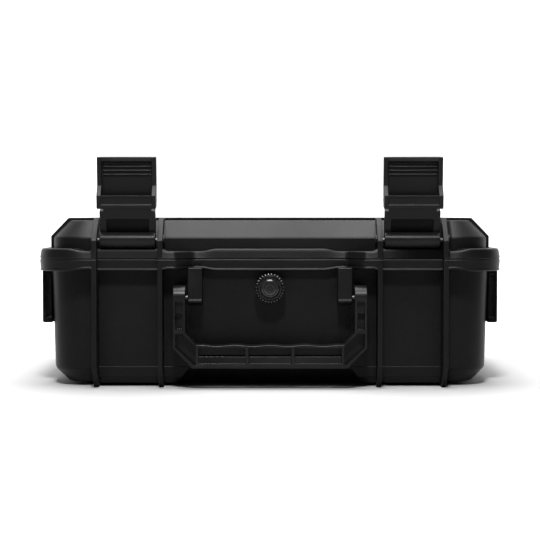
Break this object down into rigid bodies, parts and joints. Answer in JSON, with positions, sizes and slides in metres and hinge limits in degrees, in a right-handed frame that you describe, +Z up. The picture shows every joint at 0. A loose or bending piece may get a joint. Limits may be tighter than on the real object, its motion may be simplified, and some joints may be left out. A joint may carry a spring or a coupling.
{
  "type": "protective equipment case",
  "caption": "Hard ribbed plastic carrying case with hinged lid, flip-up double-throw latches, folding handle, air valve, strap loops and fitted foam.",
  "frame": {"origin": "centre of the bounding box's bottom face, on the surface the closed case lies on", "axes": "+X to the case's right seen from the latches, +Y from the latches to the hinges, +Z up through the lid"},
  "size_m": [0.33, 0.2868, 0.1631],
  "materials": {
    "shell_plastic": "fine moulded grain, black",
    "latch_plastic": "satin black",
    "knob_plastic": "semi-gloss black",
    "seal_rubber": "matt black",
    "foam": "matt charcoal closed-cell foam",
    "pin_steel": "bright drawn wire",
    "badge_gloss": "high-gloss black",
    "emblem_metal": "bright silver"
  },
  "bodies": {
    "base": {"base_shell": "shell_plastic", "lid_seal": "seal_rubber", "floor_pad_foam": "foam", "insert_foam": "foam", "hinge_pin_left": "pin_steel", "hinge_pin_right": "pin_steel", "handle_pin_left": "pin_steel", "handle_pin_right": "pin_steel", "valve_seat": "latch_plastic", "valve_washer": "seal_rubber", "valve_nut": "latch_plastic", "valve_o_ring": "seal_rubber", "strap_loop_left": "latch_plastic", "strap_loop_right": "latch_plastic"},
    "lid": {"lid_shell": "shell_plastic", "lid_foam": "foam", "latch_pivot_pin_left": "pin_steel", "latch_pivot_pin_right": "pin_steel", "badge_plate": "badge_gloss", "badge_emblem": "emblem_metal"},
    "left_link": {"latch_link_left": "latch_plastic", "latch_lever_pin_left": "pin_steel"},
    "right_link": {"latch_link_right": "latch_plastic", "latch_lever_pin_right": "pin_steel"},
    "left_lever": {"latch_lever_left": "latch_plastic"},
    "right_lever": {"latch_lever_right": "latch_plastic"},
    "handle": {"carry_handle": "latch_plastic"},
    "knob": {"valve_knob": "knob_plastic"}
  },
  "joints": [
    {"name": "lid_hinge", "type": "hinge", "parent": "base", "child": "lid", "pos_m": [0, 0.1392, 0.091], "axis": [-1, 0, 0], "range_deg": [0, 90]},
    {"name": "left_link_close", "type": "hinge", "parent": "lid", "child": "left_link", "pos_m": [-0.1, -0.129, 0.1045], "axis": [1, 0, 0], "range_deg": [-33, 159]},
    {"name": "right_link_close", "type": "hinge", "parent": "lid", "child": "right_link", "pos_m": [0.1, -0.129, 0.1045], "axis": [1, 0, 0], "range_deg": [-33, 159]},
    {"name": "left_lever_release", "type": "hinge", "parent": "left_link", "child": "left_lever", "pos_m": [-0.1, -0.13539, 0.13258], "axis": [-1, 0, 0], "range_deg": [-14, 56]},
    {"name": "right_lever_release", "type": "hinge", "parent": "right_link", "child": "right_lever", "pos_m": [0.1, -0.13539, 0.13258], "axis": [-1, 0, 0], "range_deg": [-14, 56]},
    {"name": "handle_swing", "type": "hinge", "parent": "base", "child": "handle", "pos_m": [0, -0.1349, 0.0643], "axis": [-1, 0, 0], "range_deg": [0, 100]},
    {"name": "valve_turn", "type": "hinge", "parent": "base", "child": "knob", "pos_m": [0, -0.126, 0.0703], "axis": [0, -1, 0], "range_deg": [0, 180]}
  ]
}
